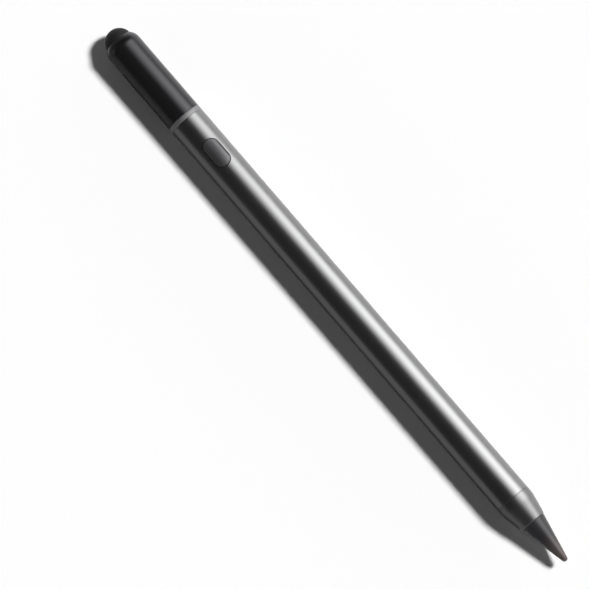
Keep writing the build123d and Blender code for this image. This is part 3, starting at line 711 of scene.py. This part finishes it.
def makeNeck(look, material):
    rear, front = spanAlong("port_neck")
    radius = halfAcross("port_neck")
    floor = rear + look["portDepth"]
    groove = radius - look["grooveDepth"]
    grooveMid = ringRear - look["sealBack"]
    grooveRear = grooveMid - look["grooveWidth"] / 2
    grooveFront = grooveMid + look["grooveWidth"] / 2
    bm = turnedShape([(floor, look["bore"]), (floor, radius), (grooveRear, radius), (grooveRear, groove),
                      (grooveFront, groove), (grooveFront, radius), (ringRear, radius),
                      (ringRear, spigotRadius), (front, spigotRadius), (front, look["bore"])],
                     look["segments"])
    for x in (grooveRear, grooveFront):
        softenRim(bm, x, radius, look["grooveEdge"], segments=2)
    softenRim(bm, front, spigotRadius, look["edge"])
    joinInto(bm, makeJaws(look, rear, radius))
    print("neck made:", len(bm.faces), "faces,", len(openEdges(bm)), "open edges")
    finishPiece("neckBody", bm, material, "body", ["port_neck"])


makeNeck(neckLook, metalFinish("turnedSteel", neckLook))


# seal ring in the neck's groove

sealLook = {
    "segments": 128, "height": 0.00056, "round": 0.0002,
    "dark": (0.012, 0.012, 0.012), "light": (0.02, 0.02, 0.02), "roughness": (0.42, 0.55),
    "grainScale": 5000.0, "softness": 0.6, "depth": 0.000003,
}


def makeSeal(look, material):
    rear, front = spanAlong("neck_seal")
    outer = halfAcross("neck_seal")
    inner = outer - look["height"]
    bm = turnedShape([(rear, inner), (rear, outer), (front, outer), (front, inner)], look["segments"])
    for x in (rear, front):
        softenRim(bm, x, outer, look["round"], segments=4)
    finishPiece("sealRing", bm, material, "body", ["neck_seal"])


makeSeal(sealLook, mouldedFinish("sealRubber", sealLook))


# stud with its screw thread, and the core that screws on it

brassLook = {
    "segments": 96, "flangeThick": 0.0006, "threadBack": 0.0012, "pitch": 0.00045, "threadDepth": 0.0002,
    "crest": 0.00006, "stepsPerTurn": 48, "tipTaper": 0.00025, "edge": 0.0001, "coreEndWall": 0.0003,
    "dark": (0.63, 0.43, 0.17), "light": (0.76, 0.56, 0.26), "roughness": (0.22, 0.36),
    "stretch": (14.0, 1.0, 1.0), "lineScale": 1100.0, "markScale": 260.0, "depth": 0.0000012,
}


def makeStud(look, material):
    rear, front = spanAlong("nib_stud")
    flange = halfAcross("nib_stud")
    flangeEnd = rear + look["flangeThick"]
    root = studRadius - look["threadDepth"]
    threadStart = noseFront - look["threadBack"]
    rootStart = threadStart + look["threadDepth"]
    threadEnd = front - look["tipTaper"]
    bm = turnedShape([(rear, 0), (rear, flange), (flangeEnd, flange), (flangeEnd, studRadius),
                      (threadStart, studRadius), (rootStart, root), (threadEnd, root),
                      (front, root - look["tipTaper"]), (front, 0)], look["segments"], closed=False)
    pitch = look["pitch"]
    turns = int((threadEnd - rootStart) / pitch) - 1
    thread, first = startProfile(rootStart, root - slipGap)
    last = linesTo(thread, first, [(rootStart + (pitch - look["crest"]) / 2, studRadius),
                                   (rootStart + (pitch + look["crest"]) / 2, studRadius),
                                   (rootStart + pitch, root - slipGap)])
    closeProfile(thread, first, last)
    bmesh.ops.spin(thread, geom=thread.verts[:] + thread.edges[:], cent=(0, 0, axisZ), axis=(1, 0, 0),
                   dvec=(pitch / look["stepsPerTurn"], 0, 0), angle=math.tau * turns,
                   steps=turns * look["stepsPerTurn"])
    bmesh.ops.holes_fill(thread, edges=openEdges(thread), sides=0)
    faceOut(thread)
    joinInto(bm, thread)
    print("stud made:", turns, "turns of thread,", len(openEdges(bm)), "open edges")
    finishPiece("threadedStud", bm, material, "body", ["nib_stud"], sharp=40)


def makeCore(look, material):
    bore = studRadius + slipGap
    boreEnd = coreShoulder - look["coreEndWall"]
    bm = turnedShape([(boreEnd, 0), (boreEnd, bore), (coreRear, bore), (coreRear, coreRadius),
                      (coreShoulder, coreRadius), (coreShoulder, pinRadius), (pinEnd, pinRadius),
                      (pinEnd, 0)], look["segments"], closed=False)
    for radius in (coreRadius, bore):
        softenRim(bm, coreRear, radius, look["edge"])
    finishPiece("nibCore", bm, material, "nib", ["nib_core"])


brass = metalFinish("turnedBrass", brassLook)
makeStud(brassLook, brass)
makeCore(brassLook, brass)


# bush round the stud

bushLook = {
    "segments": 96, "flangeRadius": 0.0032, "edge": 0.00006,
    "dark": (0.02, 0.02, 0.0215), "light": (0.03, 0.03, 0.032), "roughness": (0.4, 0.55),
    "grainScale": 5000.0, "softness": 0.6, "depth": 0.000004,
}


def makeBush(look, material):
    rear, front = spanAlong("stud_bush")
    hole = studRadius + pressGap
    seat = coreRadius + slipGap
    outer = bushRadius - pressGap
    seatEnd = coreRear - slipGap
    bm = turnedShape([(rear, hole), (rear, look["flangeRadius"]), (noseRear, look["flangeRadius"]),
                      (noseRear, outer), (front, outer), (front, seat), (seatEnd, seat), (seatEnd, hole)],
                     look["segments"])
    softenRim(bm, front, seat, look["edge"], segments=2)
    finishPiece("studBush", bm, material, "body", ["stud_bush"])


blackNylon = mouldedFinish("blackNylon", bushLook)
makeBush(bushLook, blackNylon)


# snap dome under the button, made in its raised shape; the real one flattens when the button is pressed

snapLook = {
    "steps": 16, "corner": 0.0001, "thickness": 0.00005, "travel": 0.00025,
    "dark": (0.55, 0.55, 0.53), "light": (0.66, 0.66, 0.64), "roughness": (0.2, 0.3),
    "stretch": (1.0, 10.0, 1.0), "lineScale": 2000.0, "markScale": 500.0, "depth": 0.000001,
}


def makeSnapDome(look, material):
    low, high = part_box("switch_dome")
    half = (high.x - low.x) / 2 - look["thickness"] / 2
    travel = look["travel"]
    bend = (half ** 2 + travel ** 2) / (2 * travel)
    turn = 2 * math.asin(half / bend)
    bm = bmesh.new()
    first = bm.verts.new((buttonX - half, low.y, low.z))
    bmesh.ops.spin(bm, geom=[first], cent=(buttonX, 0, low.z + travel - bend), axis=(0, 1, 0), angle=turn,
                   steps=look["steps"])
    weld(bm, cutGap)
    strip = bmesh.ops.extrude_edge_only(bm, edges=bm.edges[:])["geom"]
    bmesh.ops.translate(bm, vec=(0, high.y - low.y, 0), verts=vertsOf(strip))
    ends = [vert for vert in bm.verts if abs(abs(vert.co.x - buttonX) - half) < cutGap]
    roundOff(bm, ends, look["corner"], segments=4, affect="VERTICES")
    faceOut(bm)
    if sum(face.normal.z for face in bm.faces) > 0:  # so that the strip thickens upwards
        bmesh.ops.reverse_faces(bm, faces=bm.faces[:])
    bmesh.ops.solidify(bm, geom=bm.faces[:], thickness=look["thickness"])
    faceOut(bm)
    piece = finishPiece("snapDome", bm, material, "body", ["switch_dome"])
    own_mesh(piece)


springSteel = metalFinish("springSteel", snapLook)
makeSnapDome(snapLook, springSteel)


# foam pads at the cell's ends

padLook = {
    "segments": 72, "thickness": 0.001, "edge": 0.00012,
    "dark": (0.035, 0.035, 0.036), "light": (0.085, 0.085, 0.087), "roughness": (0.8, 0.95),
    "grainScale": 2600.0, "softness": 0.35, "depth": 0.00003,
}


def makePads(look, material):
    low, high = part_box("battery_pads")
    thickness = look["thickness"]
    bm = bmesh.new()
    bmesh.ops.create_circle(bm, cap_ends=True, segments=look["segments"], radius=axisZ - low.z)
    bmesh.ops.rotate(bm, cent=(0, 0, 0), matrix=Matrix.Rotation(math.pi / 2, 3, "Y"), verts=bm.verts[:])
    bmesh.ops.translate(bm, vec=(low.x, 0, axisZ), verts=bm.verts[:])
    bmesh.ops.bisect_plane(bm, geom=allOf(bm), dist=cutGap, plane_co=(0, 0, high.z), plane_no=(0, 0, 1),
                           clear_outer=True)
    grown = bmesh.ops.extrude_face_region(bm, geom=bm.faces[:], use_keep_orig=True)["geom"]
    bmesh.ops.translate(bm, vec=(thickness, 0, 0), verts=vertsOf(grown))
    faceOut(bm)
    roundOff(bm, [edge for edge in bm.edges if abs(edge.verts[0].co.x - edge.verts[1].co.x) < cutGap],
             look["edge"])
    second = bmesh.ops.duplicate(bm, geom=allOf(bm))["geom"]
    bmesh.ops.translate(bm, vec=(high.x - low.x - thickness, 0, 0), verts=vertsOf(second))
    piece = finishPiece("cellPads", bm, material, "body", ["battery_pads"])


makePads(padLook, mouldedFinish("padFoam", padLook))
print("inner pieces made")


# finishes for the inner pieces whose solids stay as they are

def trackFinish(name, look):  # a film or board with fine conductor tracks showing through
    material, tree, shader, coords = newFinish(name)
    tracks = addNode(tree, "ShaderNodeTexBrick", offset=look["offset"])
    setSockets(tracks, {"Color1": (*look["dark"], 1.0), "Color2": (*look["light"], 1.0),
                        "Mortar": (*look["track"], 1.0), "Scale": look["trackScale"],
                        "Mortar Size": look["trackWidth"], "Mortar Smooth": look["trackBlur"],
                        "Brick Width": look["fieldLength"], "Row Height": look["trackPitch"]})
    link(tree, coords, tracks.inputs["Vector"])
    link(tree, tracks.outputs["Color"], shader.inputs["Base Color"])
    roughen(tree, shader, look, tracks.outputs["Fac"], tracks.outputs["Fac"])
    return material


def dress(nodeName, material):
    for place in nodes[nodeName].material_slots:
        place.material = material


moulded = {"grainScale": 5000.0, "softness": 0.6, "depth": 0.000003}
strip = {"stretch": (1.0, 12.0, 12.0), "lineScale": 900.0, "markScale": 300.0, "depth": 0.000001}
tracked = {"trackScale": 1000.0, "trackBlur": 0.2}
innerLooks = {
    "goldContact": (metalFinish, ("port_contacts", "stud_contact"), {
        **strip, "dark": (0.76, 0.54, 0.22), "light": (0.88, 0.67, 0.33), "roughness": (0.2, 0.32)}),
    "washerSteel": (metalFinish, ("tip_retainer",), {
        **strip, "dark": (0.48, 0.48, 0.49), "light": (0.58, 0.58, 0.585), "roughness": (0.26, 0.38)}),
    "crystalCan": (metalFinish, ("crystal",), {
        **strip, "dark": (0.62, 0.62, 0.6), "light": (0.72, 0.72, 0.7), "roughness": (0.22, 0.34)}),
    "greyNylon": (mouldedFinish, ("chassis",), {
        **moulded, "dark": (0.28, 0.28, 0.29), "light": (0.36, 0.36, 0.37), "roughness": (0.45, 0.6)}),
    "plungerPlastic": (mouldedFinish, ("switch_plunger",), {
        **moulded, "dark": (0.5, 0.48, 0.43), "light": (0.58, 0.56, 0.51), "roughness": (0.35, 0.5)}),
    "cellWrap": (mouldedFinish, ("battery_cell",), {
        **moulded, "dark": (0.08, 0.19, 0.33), "light": (0.12, 0.25, 0.4), "roughness": (0.25, 0.4)}),
    "chipEpoxy": (mouldedFinish, ("charge_chip", "driver_chip"), {
        **moulded, "dark": (0.016, 0.016, 0.0175), "light": (0.026, 0.026, 0.028), "roughness": (0.5, 0.65)}),
    "ferriteCore": (mouldedFinish, ("boost_inductor",), {
        **moulded, "dark": (0.06, 0.06, 0.065), "light": (0.1, 0.1, 0.105), "roughness": (0.6, 0.75)}),
    "capacitorClay": (mouldedFinish, ("chip_capacitors",), {
        **moulded, "dark": (0.4, 0.29, 0.19), "light": (0.5, 0.37, 0.25), "roughness": (0.4, 0.55)}),
    "boardMask": (trackFinish, ("charge_board", "driver_board"), {
        **tracked, "dark": (0.022, 0.13, 0.055), "light": (0.03, 0.16, 0.07), "track": (0.05, 0.23, 0.1),
        "offset": 0.35, "trackWidth": 0.06, "trackPitch": 0.55, "fieldLength": 3.1, "roughness": (0.32, 0.42),
        "depth": 0.00001}),
    "flexFilm": (trackFinish, ("flex_cable",), {
        **tracked, "dark": (0.45, 0.19, 0.035), "light": (0.5, 0.22, 0.045), "track": (0.62, 0.34, 0.1),
        "offset": 0.5, "trackWidth": 0.09, "trackPitch": 0.32, "fieldLength": 90.0, "roughness": (0.2, 0.3),
        "depth": 0.000008}),
}
for finishName, (makeFinish, dressed, look) in innerLooks.items():
    finish = makeFinish(finishName, look)
    for nodeName in dressed:
        dress(nodeName, finish)
for nodeName in ("port_tongue", "switch_base"):
    dress(nodeName, blackNylon)
for nodeName in ("switch_plate", "battery_tabs", "ground_spring"):
    dress(nodeName, springSteel)
print("inner finishes set on", sum(not node.hide_render for node in nodes.values()), "solids")


# floor

floorLook = {"colour": (0.97, 0.97, 0.97), "halfSide": 6.0}


def makeFloor(look):
    bm = bmesh.new()
    bmesh.ops.create_grid(bm, x_segments=1, y_segments=1, size=look["halfSide"])
    floor = addMesh("floor", bm)
    material, _, shader, _ = newFinish("floorPaper")
    setSockets(shader, {"Base Color": (*look["colour"], 1.0), "Roughness": 1.0, "Specular IOR Level": 0.0})
    floor.data.materials.append(material)


makeFloor(floorLook)


# sky: dim overhead, with a pale band all round at the horizon

skyLook = {"grey": 0.038, "horizonGlow": 1.0, "horizonTop": 0.3}


def makeSky(look):
    world = bpy.data.worlds.new("studio")
    bpy.context.scene.world = world
    world.use_nodes = True
    tree = world.node_tree
    background = tree.nodes["Background"]
    background.inputs["Color"].default_value = (1.0, 1.0, 1.0, 1.0)
    level = softRamp(tree, placeIn(tree, "Generated")["Z"], look["horizonTop"] / 2, look["horizonTop"],
                     look["horizonGlow"], look["grey"])
    link(tree, level, background.inputs["Strength"])


makeSky(skyLook)


# sun, which lights and casts the shadow but makes no highlight

sunLook = {
    "strength": 3.7, "elevation": math.radians(52.7), "swing": math.radians(19), "width": math.radians(10.4),
}


def makeSun(look):
    lamp = bpy.data.lights.new("keySun", "SUN")
    lamp.energy = look["strength"]
    lamp.angle = look["width"]
    sun = addObject("keySun", lamp)
    flat = math.cos(look["elevation"])
    towards = Vector((flat * math.sin(look["swing"]), flat * math.cos(look["swing"]),
                      math.sin(look["elevation"])))
    sun.rotation_euler = towards.to_track_quat("Z", "Y").to_euler()
    sun.visible_glossy = False  # the long card makes the highlight


makeSun(sunLook)


# cards that only glossy surfaces see

def gridAt(place):  # one rectangle, with each of its corners where place puts it
    bm = bmesh.new()
    bmesh.ops.create_grid(bm, x_segments=1, y_segments=1, size=1.0)
    for vert in bm.verts:
        vert.co = place(vert.co.x > 0, vert.co.y > 0)
    return bm


def makeReflector(name, bm):
    card = addMesh(name, bm)
    card.visible_camera = False
    card.visible_diffuse = False
    card.visible_shadow = False
    card.visible_transmission = False
    material = bpy.data.materials.new(name + "Glow")
    material.use_nodes = True
    card.data.materials.append(material)
    tree = material.node_tree
    tree.nodes.remove(tree.nodes["Principled BSDF"])
    glow = addNode(tree, "ShaderNodeEmission")
    link(tree, glow.outputs["Emission"], tree.nodes["Material Output"].inputs["Surface"])
    return tree, glow.inputs["Strength"]


# long pale card that draws the highlight down the pen

cardLook = {
    "distance": 0.5, "lean": math.radians(45), "halfWidth": 0.53, "halfLength": 0.9, "bright": 4.15,
    "top": math.radians(-1), "peak": math.radians(53), "foot": math.radians(99),
    "rearDark": -0.5, "rearFull": 0.06, "frontDark": 0.56, "frontFull": 0.05,
    "endDark": -0.4, "endFull": -0.06,
}


def makeCard(look):
    lean = Matrix.Rotation(-look["lean"], 3, "X")

    def corner(front, left):
        return lean @ Vector((look["halfLength"] if front else -look["halfLength"],
                              look["halfWidth"] if left else -look["halfWidth"], look["distance"]))
    tree, strength = makeReflector("longCard", gridAt(corner))
    place = placeIn(tree)
    turn = addNode(tree, "ShaderNodeMath", operation="ARCTAN2")
    link(tree, place["Y"], turn.inputs[0])
    link(tree, place["Z"], turn.inputs[1])
    level = softRamp(tree, turn.outputs["Value"], look["top"], look["peak"], 0.0, look["bright"])
    level = times(tree, level, softRamp(tree, turn.outputs["Value"], look["foot"], look["peak"]))
    for side in ("rear", "end", "front"):
        level = times(tree, level, softRamp(tree, place["X"], look[side + "Dark"], look[side + "Full"]))
    link(tree, level, strength)


makeCard(cardLook)


# grey card on the shadow's side, on the floor and up behind it, which keeps that side dark

flagLook = {
    "near": 0.0085, "full": 0.015, "nearHalf": 0.13, "far": 0.8, "rear": -0.36, "front": 0.62, "top": 0.28,
    "lift": 0.0002, "fade": 0.03, "fadeEnd": 0.195, "grey": 0.262, "nearShare": 0.4, "topShare": 0.1,
}


def makeFlag(look):
    def corner(front, near):
        if near:
            return (look["nearHalf"] if front else -look["nearHalf"], -look["near"], look["lift"])
        return (look["front"] if front else look["rear"], -look["far"], look["lift"])
    bm = gridAt(corner)
    back = [edge for edge in bm.edges if all(vert.co.y < -look["far"] / 2 for vert in edge.verts)]
    wall = bmesh.ops.extrude_edge_only(bm, edges=back)["geom"]
    bmesh.ops.translate(bm, vec=(0, 0, look["top"]), verts=vertsOf(wall))
    tree, strength = makeReflector("greyFlag", bm)
    place = placeIn(tree)
    near = softRamp(tree, place["Y"], -look["near"], -look["full"], look["nearShare"], 1.0)
    top = softRamp(tree, place["Z"], look["fade"], look["fadeEnd"], look["grey"],
                   look["grey"] * look["topShare"])
    link(tree, times(tree, near, top), strength)


makeFlag(flagLook)


# dim card beyond the cap, which keeps its rounded end and the dome dark

endFlagLook = {
    "gap": 0.03, "reach": 0.33, "height": 0.1, "halfWidth": 0.3, "lift": 0.0002, "grey": 0.11, "pale": 0.62,
    "turn": -0.02, "turned": 0.11,
}


def makeEndFlag(look):
    def corner(near, left):
        return (tipEnd - (look["gap"] if near else look["reach"]),
                look["halfWidth"] if left else -look["halfWidth"], look["lift"] if near else look["height"])
    tree, strength = makeReflector("endFlag", gridAt(corner))
    level = softRamp(tree, placeIn(tree)["Y"], look["turn"], look["turned"], look["grey"], look["pale"])
    link(tree, level, strength)


makeEndFlag(endFlagLook)


# narrow dark card beside the pen, which draws the fine dark line along its shadowed edge

stripLook = {"near": 0.0047, "far": 0.0085, "rear": -0.074, "front": 0.071, "lift": 0.0002, "grey": 0.02}


def makeStrip(look):
    def corner(front, near):
        return (look["front"] if front else look["rear"], -look["near"] if near else -look["far"],
                look["lift"])
    _, strength = makeReflector("contactStrip", gridAt(corner))
    strength.default_value = look["grey"]


makeStrip(stripLook)


# pale card beyond the nib, which the barrel's dark side mirrors when seen from the cap

screenLook = {"x": 0.6, "left": -1.0, "right": 0.9, "top": 0.5, "bright": 1.2, "dim": 0.05}


def makeScreen(look):
    def corner(right, up):
        return (look["x"], look["right"] if right else look["left"], look["top"] if up else 0)
    tree, strength = makeReflector("noseScreen", gridAt(corner))
    link(tree, softRamp(tree, placeIn(tree)["Z"], 0.0, look["top"], look["bright"], look["dim"]), strength)


makeScreen(screenLook)


# camera, almost straight above

cameraLook = {
    "distance": 1.3, "leanToNib": math.radians(5.5), "leanToShadow": math.radians(4.7),
    "penAcross": (0.65259, -0.75768), "penCentre": (336.8, 294.6), "imageSide": 589.0, "pixel": 0.0002368,
    "sensor": 36.0, "clipStart": 0.01,
}


def makeCamera(look):
    camera = addObject("camera", bpy.data.cameras.new("camera"))
    back = Vector((math.tan(look["leanToNib"]), -math.tan(look["leanToShadow"]), 1.0)).normalized()
    along = (Vector((1, 0, 0)) - back * back.x).normalized()
    beside = back.cross(along)
    cosine, sine = look["penAcross"]
    right = along * cosine - beside * sine
    up = along * sine + beside * cosine
    half = look["imageSide"] / 2
    target = Vector(((tipEnd + nibEnd) / 2, 0, axisZ))
    target -= right * (look["penCentre"][0] - half) * look["pixel"]
    target += up * (look["penCentre"][1] - half) * look["pixel"]
    place = Matrix((right, up, back)).transposed().to_4x4()
    place.translation = target + back * look["distance"]
    camera.matrix_world = place
    camera.data.sensor_width = look["sensor"]
    camera.data.lens = look["sensor"] * look["distance"] / (look["imageSide"] * look["pixel"])
    camera.data.clip_start = look["clipStart"]
    bpy.context.scene.camera = camera


makeCamera(cameraLook)
bpy.context.scene.view_settings.view_transform = "Standard"
print("stage, lights and camera made")
